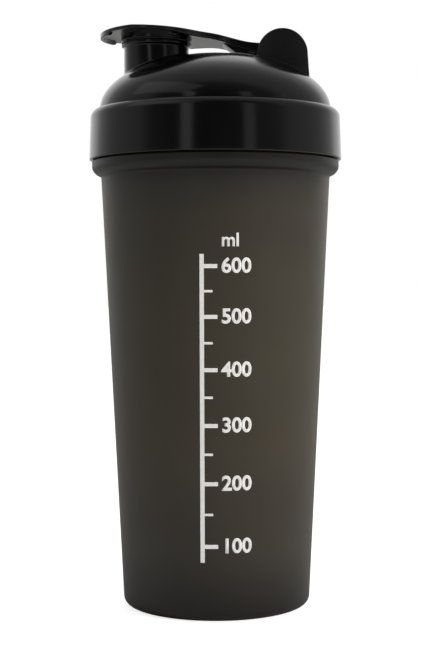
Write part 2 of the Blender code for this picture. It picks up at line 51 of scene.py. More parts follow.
# Camera. The bottle is seen from the front, a little above half its height. The lens is
# shifted down instead of tilted, so the bottle's sides stay as upright as they stand.
camera_data = bpy.data.cameras.new("front_camera")
camera_data.lens = 80.5
camera_data.sensor_width = 36.0
camera_data.sensor_fit = "AUTO"
camera_data.shift_x = -0.0011
camera_data.shift_y = -0.069
camera = bpy.data.objects.new("front_camera", camera_data)
bpy.context.scene.collection.objects.link(camera)
camera.location = (0.0, -0.575, 0.1287)
camera.rotation_euler = (math.radians(90.0), math.radians(0.18), 0.0)
bpy.context.scene.camera = camera


# Studio. The bottle stands on a sheet of white paper. The room is bright behind, so the
# black lid gets light rims, and dim in front, where two upright strip lamps draw its stripes.
def linear(hex_colour):
    """An sRGB hex colour as linear red, green, blue and alpha."""
    channels = []
    for start in (1, 3, 5):
        value = int(hex_colour[start:start + 2], 16) / 255.0
        channels.append(value / 12.92 if value <= 0.04045 else ((value + 0.055) / 1.055) ** 2.4)
    return (*channels, 1.0)


def add_node(tree, kind, settings=None, **links):
    """Adds a node, sets its properties, inputs or ramp stops, and links sockets to its inputs,
    given by input name or as i with the input's number."""
    node = tree.nodes.new(kind)
    for key, value in (settings or {}).items():
        if key == "stops":
            while len(node.color_ramp.elements) < len(value):
                node.color_ramp.elements.new(0.5)
            for element, (position, colour) in zip(node.color_ramp.elements, value):
                element.position = position
                element.color = colour
        elif hasattr(node, key):
            setattr(node, key, value)
        else:
            node.inputs[key].default_value = value
    for key, socket in links.items():
        target = node.inputs[int(key[1:])] if key[0] == "i" and key[1:].isdigit() else node.inputs[key]
        tree.links.new(socket, target)
    return node


def new_material(name, **principled):
    """A material with a Principled shader; keyword names are its inputs with _ for a space."""
    material = bpy.data.materials.new(name)
    material.use_nodes = True
    shader = material.node_tree.nodes["Principled BSDF"]
    for key, value in principled.items():
        shader.inputs[key.replace("_", " ")].default_value = value
    return material, material.node_tree, shader


def new_piece(name, mesh):
    piece = bpy.data.objects.new(name, mesh)
    bpy.context.scene.collection.objects.link(piece)
    return piece


def paper_floor():
    """A wide round sheet of matt white paper under the bottle."""
    shape = bmesh.new()
    bmesh.ops.create_circle(shape, cap_ends=True, segments=96, radius=6.0)
    mesh = bpy.data.meshes.new("paper_floor")
    shape.to_mesh(mesh)
    shape.free()
    return new_piece("paper_floor", mesh)


def floor_paper():
    """White paper, lit from below for the eye only, as on a light table."""
    material, tree, shader = new_material("matt_white_paper", Roughness=0.9)
    shader.inputs["Base Color"].default_value = linear("#f1f1f0")
    glow = add_node(tree, "ShaderNodeEmission", {"Strength": 0.78})
    both = add_node(tree, "ShaderNodeAddShader", i0=shader.outputs[0], i1=glow.outputs[0])
    seen = add_node(tree, "ShaderNodeLightPath")
    mix = add_node(tree, "ShaderNodeMixShader", i0=seen.outputs["Is Camera Ray"],
                   i1=shader.outputs[0], i2=both.outputs[0])
    tree.links.new(mix.outputs[0], tree.nodes["Material Output"].inputs["Surface"])
    return material


floor = paper_floor()
floor.data.materials.append(floor_paper())
bpy.context.scene.view_settings.view_transform = "Standard"


def strip_lamp(name, side_deg, up, distance, size, power):
    """A rectangular soft lamp round the bottle, aimed at the lid; side_deg 0 is the camera's side."""
    lamp_data = bpy.data.lights.new(name, "AREA")
    lamp_data.shape = "RECTANGLE"
    lamp_data.size, lamp_data.size_y = size
    lamp_data.energy = power
    lamp = bpy.data.objects.new(name, lamp_data)
    bpy.context.scene.collection.objects.link(lamp)
    angle = math.radians(side_deg)
    place = mathutils.Vector((distance * math.sin(angle), -distance * math.cos(angle), up))
    lamp.location = place
    aim = mathutils.Vector((0.0, 0.0, 0.15)) - place
    lamp.rotation_euler = aim.to_track_quat("-Z", "Y").to_euler()
    lamp.visible_camera = False
    return lamp


strip_lamp("left_strip", -25.3, 0.25, 1.6, (0.28, 1.5), 0.75)
strip_lamp("right_strip", 30.5, 0.25, 1.6, (0.28, 1.5), 0.5)
strip_lamp("left_panel", -60.0, 1.6, 1.5, (2.3, 1.2), 2.9).visible_diffuse = False
strip_lamp("key_softbox", 62.0, 0.9, 1.8, (0.9, 1.2), 20.0).visible_glossy = False


def studio_world():
    """Room light by direction: white behind the bottle, falling to dim grey behind the camera."""
    world = bpy.data.worlds.new("studio_room")
    world.use_nodes = True
    tree = world.node_tree
    tree.nodes.clear()
    place = add_node(tree, "ShaderNodeTexCoord")
    split = add_node(tree, "ShaderNodeSeparateXYZ", i0=place.outputs["Generated"])
    share = add_node(tree, "ShaderNodeMath", {"operation": "MULTIPLY_ADD"}, i0=split.outputs["Y"])
    share.inputs[1].default_value = 0.5
    share.inputs[2].default_value = 0.5
    levels = [(-1.0, 0.03), (-0.78, 0.05), (-0.5, 0.12), (-0.3, 0.32), (0.34, 0.4),
              (0.62, 0.62), (0.75, 1.1)]
    stops = [(depth * 0.5 + 0.5, (level, level, level, 1.0)) for depth, level in levels]
    ramp = add_node(tree, "ShaderNodeValToRGB", {"stops": stops}, i0=share.outputs[0])
    room = add_node(tree, "ShaderNodeBackground", {"Strength": 1.0}, Color=ramp.outputs["Color"])
    plain = add_node(tree, "ShaderNodeBackground", {"Color": (1.0, 1.0, 1.0, 1.0)})
    seen = add_node(tree, "ShaderNodeLightPath")
    mix = add_node(tree, "ShaderNodeMixShader", i0=seen.outputs["Is Camera Ray"],
                   i1=room.outputs[0], i2=plain.outputs[0])
    add_node(tree, "ShaderNodeOutputWorld", Surface=mix.outputs[0])
    bpy.context.scene.world = world


studio_world()


# Cup. A tapered beaker injection moulded in smoked polypropylene with a finely frosted skin:
# foot ring, plain side wall, a thick rolled bead under the lid, and a thin threaded neck.
cup_low, cup_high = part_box("cup")
CUP_TAPER = math.radians(2.95)
CUP_FOOT_RADIUS = 36.67 * MM
CUP_WALL = 1.8 * MM
BEAD_TOP = cup_high.z - 15.5 * MM
NECK_RADIUS = 45.8 * MM
NECK_BORE = 44.0 * MM
THREAD_LEAD = 6.0 * MM


def cup_radius(height):
    """Outer radius of the cup's side wall."""
    return CUP_FOOT_RADIUS + height * math.tan(CUP_TAPER)


def rounded(corners, steps=8):
    """A line through (radius, height, rounding) corners, each corner turned into an arc."""
    points = []
    last = len(corners) - 1
    for index, (across, up, rounding) in enumerate(corners):
        corner = mathutils.Vector((across, up))
        if rounding == 0.0 or index in (0, last):
            points.append((across, up))
            continue
        before = mathutils.Vector(corners[index - 1][:2]) - corner
        after = mathutils.Vector(corners[index + 1][:2]) - corner
        half = before.angle(after) / 2
        reach = min(rounding / math.tan(half), 0.499 * before.length, 0.499 * after.length)
        radius = reach * math.tan(half)
        middle = corner + (before.normalized() + after.normalized()).normalized() * (radius / math.sin(half))
        start = corner + before.normalized() * reach - middle
        turn = start.angle_signed(corner + after.normalized() * reach - middle)
        for step in range(steps + 1):
            spoke = start.copy()
            spoke.rotate(mathutils.Matrix.Rotation(-turn * step / steps, 2))
            points.append(tuple(middle + spoke))
    return points


def turned(profile, segments, closed=False, centre=(0.0, 0.0)):
    """A closed mesh turned about an upright axis through centre."""
    shape = bmesh.new()
    rings = []
    for radius, height in profile:
        if radius < 1e-7:
            rings.append([shape.verts.new((centre[0], centre[1], height))])
            continue
        ring = []
        for index in range(segments):
            angle = math.tau * index / segments
            ring.append(shape.verts.new((
                centre[0] + radius * math.cos(angle), centre[1] + radius * math.sin(angle), height)))
        rings.append(ring)
    pairs = list(zip(rings, rings[1:]))
    if closed:
        pairs.append((rings[-1], rings[0]))
    for before, after in pairs:
        for index in range(segments):
            following = (index + 1) % segments
            if len(before) == 1 and len(after) == 1:
                continue
            if len(before) == 1:
                shape.faces.new((before[0], after[index], after[following]))
            elif len(after) == 1:
                shape.faces.new((before[index], after[0], before[following]))
            else:
                shape.faces.new((before[index], after[index], after[following], before[following]))
    bmesh.ops.recalc_face_normals(shape, faces=shape.faces)
    mesh = bpy.data.meshes.new("turned")
    shape.to_mesh(mesh)
    shape.free()
    return mesh


def smooth(mesh, sharp_deg=38.0):
    mesh.shade_smooth()
    mesh.set_sharp_from_angle(angle=math.radians(sharp_deg))
    return mesh


def baked(piece):
    """The piece's evaluated shape as a plain mesh on the same object."""
    bpy.context.view_layer.update()
    graph = bpy.context.evaluated_depsgraph_get()
    mesh = bpy.data.meshes.new_from_object(piece.evaluated_get(graph))
    piece.modifiers.clear()
    piece.data = mesh
    return piece


def combine(piece, other, operation):
    """Joins, cuts or intersects a piece with another solid, which is used up."""
    step = piece.modifiers.new("combine", "BOOLEAN")
    step.operation = operation
    step.solver = "EXACT"
    step.object = other
    baked(piece)
    bpy.data.objects.remove(other, do_unlink=True)
    return piece


def thread_tree():
    """Geometry Nodes: a thread ridge swept along a spiral."""
    tree = bpy.data.node_groups.new("thread_ridge", "GeometryNodeTree")
    inputs = {}
    for name, kind, value in (
        ("Radius", "NodeSocketFloat", 0.045),
        ("Turns", "NodeSocketFloat", 1.5),
        ("Start Height", "NodeSocketFloat", 0.17),
        ("Start Turn", "NodeSocketFloat", 0.0),
        ("Lead", "NodeSocketFloat", THREAD_LEAD),
        ("Ridge", "NodeSocketFloat", 0.0013),
        ("Material", "NodeSocketMaterial", None),
    ):
        socket = tree.interface.new_socket(name, in_out="INPUT", socket_type=kind)
        if value is not None:
            socket.default_value = value
        inputs[name] = socket.identifier
    tree.interface.new_socket("Geometry", in_out="OUTPUT", socket_type="NodeSocketGeometry")
    source = add_node(tree, "NodeGroupInput")
    rise = add_node(tree, "ShaderNodeMath", {"operation": "MULTIPLY"},
                    i0=source.outputs["Turns"], i1=source.outputs["Lead"])
    spiral = add_node(tree, "GeometryNodeCurveSpiral", {"Resolution": 96, "Reverse": True},
                      Rotations=source.outputs["Turns"], Height=rise.outputs[0])
    spiral.inputs["Start Radius"].default_value = 1.0
    tree.links.new(source.outputs["Radius"], spiral.inputs["Start Radius"])
    tree.links.new(source.outputs["Radius"], spiral.inputs["End Radius"])
    share = add_node(tree, "GeometryNodeSplineParameter")
    near_end = add_node(tree, "ShaderNodeMath", {"operation": "PINGPONG"}, i0=share.outputs["Factor"])
    near_end.inputs[1].default_value = 0.5
    taper = add_node(tree, "ShaderNodeMath", {"operation": "MULTIPLY_ADD", "use_clamp": True},
                     i0=near_end.outputs[0])
    taper.inputs[1].default_value = 9.0
    taper.inputs[2].default_value = 0.08
    size = add_node(tree, "ShaderNodeMath", {"operation": "MULTIPLY"},
                    i0=taper.outputs[0], i1=source.outputs["Ridge"])
    thinned = add_node(tree, "GeometryNodeSetCurveRadius", Curve=spiral.outputs[0],
                       Radius=size.outputs[0])
    section = add_node(tree, "GeometryNodeCurvePrimitiveCircle", {"Resolution": 14, "Radius": 1.0})
    swept = add_node(tree, "GeometryNodeCurveToMesh", {"Fill Caps": True},
                     Curve=thinned.outputs[0], i1=section.outputs[0])
    if "Scale" in swept.inputs:
        tree.links.new(size.outputs[0], swept.inputs["Scale"])
    turn = add_node(tree, "ShaderNodeMath", {"operation": "MULTIPLY"}, i0=source.outputs["Start Turn"])
    turn.inputs[1].default_value = math.tau
    spin = add_node(tree, "ShaderNodeCombineXYZ", Z=turn.outputs[0])
    lift = add_node(tree, "ShaderNodeCombineXYZ", Z=source.outputs["Start Height"])
    placed = add_node(tree, "GeometryNodeTransform", Geometry=swept.outputs[0],
                      Rotation=spin.outputs[0], Translation=lift.outputs[0])
    real = add_node(tree, "GeometryNodeRealizeInstances", Geometry=placed.outputs[0])
    dressed = add_node(tree, "GeometryNodeSetMaterial", Geometry=real.outputs[0],
                       Material=source.outputs["Material"])
    add_node(tree, "NodeGroupOutput", Geometry=dressed.outputs[0])
    return tree, inputs


THREAD_TREE, THREAD_INPUTS = thread_tree()


def grown(name, tree, inputs, settings, points=None):
    """A plain mesh piece made by a Geometry Nodes tree with the given named inputs."""
    piece = new_piece(name, points or bpy.data.meshes.new(name))
    grower = piece.modifiers.new("grow", "NODES")
    grower.node_group = tree
    for key, value in settings.items():
        grower[inputs[key]] = value
    return baked(piece)


def frosted_smoke():
    """Smoked polypropylene, frosted in the mould: deep olive brown, satin, faintly uneven."""
    material, tree, shader = new_material(
        "smoked_polypropylene_frosted", Roughness=0.46, IOR=1.49, Subsurface_Weight=0.0)
    place = add_node(tree, "ShaderNodeTexCoord")
    split = add_node(tree, "ShaderNodeSeparateXYZ", i0=place.outputs["Object"])
    height = add_node(tree, "ShaderNodeMapRange", Value=split.outputs["Z"])
    height.inputs["From Min"].default_value = 0.0
    height.inputs["From Max"].default_value = cup_high.z
    # Opaque stand-in for a see-through wall, with shade painted into the colour: both ends, where the light
    # is blocked, are painted deeper, most in a dark band round the bead under the lid; between them is the
    # wall's olive brown.
    tone_and_painted_shade = [(0.0, "#201c18"), (0.05, "#2c2721"), (0.13, "#3f3930"), (0.35, "#484032"),
             (0.62, "#463f31"), (0.8, "#3f392e"), (0.86, "#332f28"), (0.89, "#151412"),
             (0.916, "#151412"), (0.93, "#38332a"), (1.0, "#3a352b")]
    stops = [(position, linear(colour)) for position, colour in tone_and_painted_shade]
    ramp = add_node(tree, "ShaderNodeValToRGB", {"stops": stops}, i0=height.outputs[0])
    # Flow clouds in the melt, 30 mm across, shift the tone by a few percent.
    cloud = add_node(tree, "ShaderNodeTexNoise", {"Scale": 33.0, "Detail": 2.0},
                     Vector=place.outputs["Object"])
    tint = add_node(tree, "ShaderNodeMixRGB", {"blend_type": "SOFT_LIGHT"}, i1=ramp.outputs[0],
                    i2=cloud.outputs["Fac"])
    tint.inputs[0].default_value = 0.18
    tree.links.new(tint.outputs[0], shader.inputs["Base Color"])
    # Frost grain is about 0.1 mm; drawn at 0.35 mm so that it still shows.
    frost = add_node(tree, "ShaderNodeTexNoise", {"Scale": 2800.0, "Detail": 1.0},
                     Vector=place.outputs["Object"])
    bump = add_node(tree, "ShaderNodeBump", {"Strength": 0.10, "Distance": 0.00005},
                    Height=frost.outputs["Fac"])
    tree.links.new(bump.outputs[0], shader.inputs["Normal"])
    scuff = add_node(tree, "ShaderNodeTexNoise", {"Scale": 90.0, "Detail": 4.0},
                     Vector=place.outputs["Object"])
    rough = add_node(tree, "ShaderNodeMapRange", Value=scuff.outputs["Fac"])
    rough.inputs["To Min"].default_value = 0.42
    rough.inputs["To Max"].default_value = 0.52
    tree.links.new(rough.outputs[0], shader.inputs["Roughness"])
    return material


SMOKE = frosted_smoke()


def make_cup():
    top = cup_high.z
    bead = cup_high.x
    side_top = BEAD_TOP - 7.0 * MM
    foot = 33.1 * MM
    floor = 3.6 * MM
    profile = rounded([
        (0.0, floor + 0.6 * MM, 0.0),
        (24.0 * MM, floor, 20.0 * MM),
        (cup_radius(floor) - CUP_WALL, floor, 4.2 * MM),
        (cup_radius(side_top) - CUP_WALL, side_top, 6.0 * MM),
        (NECK_BORE, BEAD_TOP, 6.0 * MM),
        (NECK_BORE, top, 0.6 * MM),
        (NECK_RADIUS, top, 0.6 * MM),
        (NECK_RADIUS, BEAD_TOP, 0.4 * MM),
        (bead, BEAD_TOP, 0.5 * MM),
        (bead, BEAD_TOP - 3.4 * MM, 3.0 * MM),
        (bead - 1.6 * MM, BEAD_TOP - 5.2 * MM, 2.4 * MM),
        (cup_radius(side_top) + 0.05 * MM, side_top + 0.8 * MM, 1.1 * MM),
        (cup_radius(side_top - 3.0 * MM), side_top - 3.0 * MM, 0.0),
        (cup_radius(120.0 * MM), 120.0 * MM, 0.0),
        (cup_radius(60.0 * MM), 60.0 * MM, 0.0),
        (cup_radius(0.0), 0.0, 3.8 * MM),
        (foot - 2.7 * MM, 0.0, 0.5 * MM),
        (foot - 4.1 * MM, 1.4 * MM, 0.6 * MM),
        (14.0 * MM, 1.4 * MM, 0.4 * MM),
        (13.6 * MM, 1.1 * MM, 0.2 * MM),
        (12.6 * MM, 1.1 * MM, 0.2 * MM),
        (12.2 * MM, 1.4 * MM, 0.4 * MM),
        (2.0 * MM, 1.4 * MM, 0.4 * MM),
        (1.6 * MM, 0.9 * MM, 0.3 * MM),
        (0.0, 0.9 * MM, 0.0),
    ])
    cup = new_piece("smoked_cup", turned(profile, 160))
    ridge = grown("neck_thread", THREAD_TREE, THREAD_INPUTS, {
        "Radius": NECK_RADIUS, "Turns": 1.58, "Start Height": 178.5 * MM, "Ridge": 1.3 * MM,
        "Material": SMOKE})
    combine(cup, ridge, "UNION")
    cup.data.materials.clear()
    cup.data.materials.append(SMOKE)
    smooth(cup.data)
    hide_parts("cup")
    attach(cup, "cup")
    return cup


make_cup()


# Volume scale. A pad-printed measuring scale in off-white ink on the cup's front: a spine,
# a bar for each 100 ml, half bars between, and numbers. Heights follow the cup's real volume.
def height_for(volume_ml):
    """Height in the cup at which the drink reaches a volume."""
    height = 3.6 * MM
    filled = 0.0
    step = 0.25 * MM
    while filled < volume_ml * 1e-6:
        filled += math.pi * (cup_radius(height) - CUP_WALL) ** 2 * step
        height += step
    return height


def ink_material():
    """White two-part ink: opaque, satin, uneven where the pad lifted, with a faint painted glow that makes
    it read brighter than its light.
    """
    material, tree, shader = new_material("pad_printed_ink_off_white", Roughness=0.42, IOR=1.5)
    # Painted light: a faint emission makes the ink glow, though it is no lamp.
    shader.inputs["Emission Color"].default_value = linear("#fffdf8")
    shader.inputs["Emission Strength"].default_value = 0.22
    place = add_node(tree, "ShaderNodeTexCoord")
    patch = add_node(tree, "ShaderNodeTexNoise", {"Scale": 420.0, "Detail": 3.0},
                     Vector=place.outputs["Object"])
    stops = [(0.3, linear("#f1f0ea")), (0.6, linear("#fdfcf8"))]
    ramp = add_node(tree, "ShaderNodeValToRGB", {"stops": stops}, i0=patch.outputs["Fac"])
    tree.links.new(ramp.outputs[0], shader.inputs["Base Color"])
    grain = add_node(tree, "ShaderNodeBump", {"Strength": 0.08, "Distance": 0.00003},
                     Height=patch.outputs["Fac"])
    tree.links.new(grain.outputs[0], shader.inputs["Normal"])
    return material


def flat_text(words, size, weight):
    """A flat mesh of figures, left end at the origin."""
    letters = bpy.data.curves.new("figures", "FONT")
    letters.body = words
    letters.size = size
    letters.offset = weight
    letters.align_y = "CENTER"
    letters.resolution_u = 6
    holder = new_piece("figures", letters)
    bpy.context.view_layer.update()
    mesh = bpy.data.meshes.new_from_object(holder)
    bpy.data.objects.remove(holder, do_unlink=True)
    return mesh


def bar_tree():
    """Geometry Nodes: a flat bar at each point, as large as the point's bar_size."""
    tree = bpy.data.node_groups.new("scale_bars", "GeometryNodeTree")
    tree.interface.new_socket("Geometry", in_out="INPUT", socket_type="NodeSocketGeometry")
    socket = tree.interface.new_socket("Material", in_out="INPUT", socket_type="NodeSocketMaterial")
    tree.interface.new_socket("Geometry", in_out="OUTPUT", socket_type="NodeSocketGeometry")
    source = add_node(tree, "NodeGroupInput")
    unit = add_node(tree, "GeometryNodeMeshGrid", {
        "Size X": 1.0, "Size Y": 1.0, "Vertices X": 2, "Vertices Y": 2})
    moved = add_node(tree, "GeometryNodeTransform", {"Translation": (0.5, 0.0, 0.0)},
                     Geometry=unit.outputs[0])
    size = add_node(tree, "GeometryNodeInputNamedAttribute", {
        "data_type": "FLOAT_VECTOR", "Name": "bar_size"})
    bars = add_node(tree, "GeometryNodeInstanceOnPoints", Points=source.outputs["Geometry"],
                    Instance=moved.outputs[0], Scale=size.outputs["Attribute"])
    real = add_node(tree, "GeometryNodeRealizeInstances", Geometry=bars.outputs[0])
    dressed = add_node(tree, "GeometryNodeSetMaterial", Geometry=real.outputs[0],
                       Material=source.outputs["Material"])
    add_node(tree, "NodeGroupOutput", Geometry=dressed.outputs[0])
    return tree, {"Material": socket.identifier}


def make_scale():
    left = -6.0 * MM
    spine = 1.6 * MM
    ink = ink_material()
    low = height_for(75)
    high = height_for(625)
    places = [(left, (low + high) / 2, 0.0)]
    sizes = [(spine, high - low, 1.0)]
    for volume in range(100, 601, 50):
        places.append((left + spine, height_for(volume), 0.0))
        sizes.append((5.0 * MM, 1.5 * MM, 1.0) if volume % 100 == 0 else (3.2 * MM, 0.9 * MM, 1.0))
    points = bpy.data.meshes.new("scale_bars")
    points.from_pydata(places, [], [])
    bar_size = points.attributes.new("bar_size", "FLOAT_VECTOR", "POINT")
    for index, size in enumerate(sizes):
        bar_size.data[index].vector = size
    tree, inputs = bar_tree()
    bars = grown("scale_bars", tree, inputs, {"Material": ink}, points)
    shape = bmesh.new()
    shape.from_mesh(bars.data)
    bpy.data.objects.remove(bars, do_unlink=True)
    for volume in range(100, 601, 100):
        figures = flat_text(str(volume), 7.6 * MM, 0.22 * MM)
        figures.transform(mathutils.Matrix.Translation((left + 8.0 * MM, height_for(volume), 0.0)))
        shape.from_mesh(figures)
    unit = flat_text("ml", 7.0 * MM, 0.15 * MM)
    unit.transform(mathutils.Matrix.Translation((left + 8.0 * MM, height_for(600) + 9.5 * MM, 0.0)))
    shape.from_mesh(unit)
    # Cut into narrow strips so that the flat shapes can follow the round wall.
    for index in range(-8, 20):
        bmesh.ops.bisect_plane(
            shape, geom=shape.verts[:] + shape.edges[:] + shape.faces[:],
            plane_co=(index * 1.0 * MM, 0.0, 0.0), plane_no=(1.0, 0.0, 0.0), dist=1e-7)
    bmesh.ops.remove_doubles(shape, verts=shape.verts, dist=0.002 * MM)
    bmesh.ops.recalc_face_normals(shape, faces=shape.faces)
    for vert in shape.verts:
        across, up = vert.co.x, vert.co.y
        radius = cup_radius(up) + 0.05 * MM
        angle = across / radius
        vert.co = (radius * math.sin(angle), -radius * math.cos(angle), up)
    for face in shape.faces:
        face.normal_update()
        if face.normal.dot(face.calc_center_median() * mathutils.Vector((1, 1, 0))) < 0:
            face.normal_flip()
    mesh = bpy.data.meshes.new("volume_scale_print")
    shape.to_mesh(mesh)
    shape.free()
    print_piece = new_piece("volume_scale_print", mesh)
    thick = print_piece.modifiers.new("ink_film", "SOLIDIFY")
    thick.thickness = 0.07 * MM
    thick.offset = -1.0
    baked(print_piece)
    print_piece.data.materials.clear()
    print_piece.data.materials.append(ink)
    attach(print_piece, "cup")
    return print_piece


make_scale()


# Lid. A screw cap injection moulded in black polypropylene from a polished tool: skirt with an
# inner thread, rounded shoulder, dome, pouring spout and two ears that hold the flip cap's pins.
lid_low, lid_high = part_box("lid")
SKIRT_RADIUS = lid_high.x
SKIRT_BORE = 47.9 * MM
SHOULDER = lid_low.z + 20.2 * MM
DOME_RADIUS = 45.9 * MM
DOME_HEIGHT = 22.2 * MM
DOME_BASE = SHOULDER - 0.3 * MM
DOME_WALL = 2.2 * MM
SPOUT_X = -23.3 * MM
SPOUT_RADIUS = 12.9 * MM
SPOUT_TOP = 222.2 * MM
HINGE = mathutils.Vector(next(joint["pos_m"] for joint in frame["joints"] if joint["name"] == "cap_hinge"))
EAR_INNER = 9.5 * MM
EAR_OUTER = 14.2 * MM
EAR_ARCH = 9.9 * MM
EAR_CROWN = 1.0 * MM
EAR_ARCH_Z = lid_high.z - EAR_ARCH


def gloss_black(name, colour, roughness, ears=0.0):
    """Black polypropylene from a polished mould: deep gloss with a faint orange peel. The mould
    is polished less round the hinge ears, which ears adds to the roughness there."""
    material, tree, shader = new_material(name, Roughness=roughness, IOR=1.49)
    place = add_node(tree, "ShaderNodeTexCoord")
    # Pigment swirls, some 25 mm long, are barely lighter than the rest.
    swirl = add_node(tree, "ShaderNodeTexNoise", {"Scale": 40.0, "Detail": 2.0, "Distortion": 0.8},
                     Vector=place.outputs["Object"])
    stops = [(0.35, linear(colour)), (0.8, linear("#121112"))]
    ramp = add_node(tree, "ShaderNodeValToRGB", {"stops": stops}, i0=swirl.outputs["Fac"])
    tree.links.new(ramp.outputs[0], shader.inputs["Base Color"])
    # Wiping marks: soft patches, 6 mm across, where the gloss is a little duller.
    wipe = add_node(tree, "ShaderNodeTexNoise", {"Scale": 160.0, "Detail": 5.0, "Roughness": 0.62},
                    Vector=place.outputs["Object"])
    gloss = add_node(tree, "ShaderNodeMapRange", Value=wipe.outputs["Fac"])
    gloss.inputs["To Min"].default_value = roughness - 0.03
    gloss.inputs["To Max"].default_value = roughness + 0.04
    split = add_node(tree, "ShaderNodeSeparateXYZ", i0=place.outputs["Object"])
    behind = add_node(tree, "ShaderNodeMapRange", {
        "interpolation_type": "SMOOTHSTEP", "From Min": 13.0 * MM, "From Max": 17.0 * MM},
        Value=split.outputs["X"])
    raised = add_node(tree, "ShaderNodeMapRange", {
        "interpolation_type": "SMOOTHSTEP", "From Min": 206.0 * MM, "From Max": 214.0 * MM},
        Value=split.outputs["Z"])
    spot = add_node(tree, "ShaderNodeMath", {"operation": "MULTIPLY"}, i0=behind.outputs[0],
                    i1=raised.outputs[0])
    dull = add_node(tree, "ShaderNodeMath", {"operation": "MULTIPLY_ADD"}, i0=spot.outputs[0],
                    i2=gloss.outputs[0])
    dull.inputs[1].default_value = ears
    tree.links.new(dull.outputs[0], shader.inputs["Roughness"])
    # Orange peel of the mould's polish, 3 mm across and well under a micron deep.
    peel = add_node(tree, "ShaderNodeTexNoise", {"Scale": 330.0, "Detail": 1.0},
                    Vector=place.outputs["Object"])
    bump = add_node(tree, "ShaderNodeBump", {"Strength": 0.05, "Distance": 0.00003},
                    Height=peel.outputs["Fac"])
    tree.links.new(bump.outputs[0], shader.inputs["Normal"])
    return material


LID_BLACK = gloss_black("black_polypropylene_polished", "#0a090a", 0.15, ears=0.24)


def dome_height(across, along=0.0):
    """Height of the dome over a point of the plan."""
    share = math.hypot(across, along) / DOME_RADIUS
    return DOME_BASE + DOME_HEIGHT * math.sqrt(max(0.0, 1.0 - share ** 2))


def lid_shell():
    """Skirt, shoulder and dome, with the ring inside that clips the mixing grid."""
    profile = []
    for index in range(41):
        angle = math.radians(90.0 - 89.0 * index / 40)
        profile.append((DOME_RADIUS * math.cos(angle), DOME_BASE + DOME_HEIGHT * math.sin(angle)))
    corner = 3.6 * MM
    for index in range(18):
        angle = math.radians(85.0 - 5.0 * index)
        profile.append((SKIRT_RADIUS - 0.5 * MM - corner * (1.0 - math.cos(angle)),
                        SHOULDER - corner * (1.0 - math.sin(angle))))
    low = lid_low.z
    roof = SHOULDER - 3.1 * MM
    profile += rounded([
        (SKIRT_RADIUS - 0.5 * MM, SHOULDER - corner, 0.0),
        (SKIRT_RADIUS, low + 1.5 * MM, 0.0),
        (SKIRT_RADIUS, low, 0.45 * MM),
        (SKIRT_BORE, low, 0.45 * MM),
        (SKIRT_BORE, roof, 0.5 * MM),
        (43.3 * MM, roof, 0.5 * MM),
        (43.3 * MM, low + 10.6 * MM, 0.4 * MM),
        (40.7 * MM, low + 10.6 * MM, 0.4 * MM),
        (40.7 * MM, low + 11.3 * MM, 0.3 * MM),
        (41.4 * MM, low + 11.9 * MM, 0.3 * MM),
        (41.4 * MM, roof + 1.3 * MM, 1.5 * MM),
        (DOME_RADIUS - DOME_WALL, DOME_BASE + 1.4 * MM, 0.0),
    ], steps=10)
    for index in range(31):
        angle = math.radians(4.0 + 86.0 * index / 30)
        profile.append(((DOME_RADIUS - DOME_WALL) * math.cos(angle),
                        DOME_BASE + (DOME_HEIGHT - DOME_WALL) * math.sin(angle)))
    profile[0] = (0.0, profile[0][1])
    profile[-1] = (0.0, profile[-1][1])
    return new_piece("screw_lid", turned(profile, 192))


def ring_loft(rings, name, cap_ends=True, closed=False):
    """A mesh through rings of equal length, its end rings filled or joined to each other."""
    shape = bmesh.new()
    rows = [[shape.verts.new(point) for point in ring] for ring in rings]
    count = len(rows[0])
    for before, after in zip(rows, rows[1:] + rows[:closed]):
        for index in range(count):
            following = (index + 1) % count
            shape.faces.new((before[index], before[following], after[following], after[index]))
    if cap_ends:
        shape.faces.new(rows[0])
        shape.faces.new(rows[-1])
    bmesh.ops.recalc_face_normals(shape, faces=shape.faces)
    mesh = bpy.data.meshes.new(name)
    shape.to_mesh(mesh)
    shape.free()
    return mesh


def arch_outline(inset):
    """Outline of an ear in X and Z, drawn in by inset all round its arch."""
    radius = EAR_ARCH - inset
    points = []
    for index in range(49):
        angle = math.radians(180.0 * index / 48)
        points.append((HINGE.x + radius * math.cos(angle), EAR_ARCH_Z + radius * math.sin(angle)))
    points.append((HINGE.x - radius, 203.0 * MM))
    points.append((HINGE.x + radius + 0.9 * MM, 203.0 * MM))
    return points


def crowned(x, across):
    """Draws a point of the ear in towards its front and back edge, so the outer face bulges."""
    share = (across - EAR_INNER) / (EAR_OUTER - EAR_INNER)
    return across - EAR_CROWN * share * min(1.0, ((x - HINGE.x) / EAR_ARCH) ** 2)


def ear(side):
    """One ear: an arched plate with narrow round edges and a bulging face, on the dome."""
    edge = 0.7 * MM
    places = []
    for index in range(9):
        angle = math.radians(90.0 * index / 8)
        places.append((edge * (1.0 - math.sin(angle)), EAR_INNER + edge * (1.0 - math.cos(angle))))
    for index in range(9):
        angle = math.radians(90.0 * index / 8)
        places.append((edge * (1.0 - math.cos(angle)), EAR_OUTER - edge * (1.0 - math.sin(angle))))
    for index in range(1, 13):
        places.append((edge + (EAR_ARCH - 0.2 * MM - edge) * index / 12, EAR_OUTER))
    rings = []
    for inset, across in places:
        rings.append([(x, side * crowned(x, across), z) for x, z in arch_outline(inset)])
    return new_piece("ear", ring_loft(rings, "ear"))


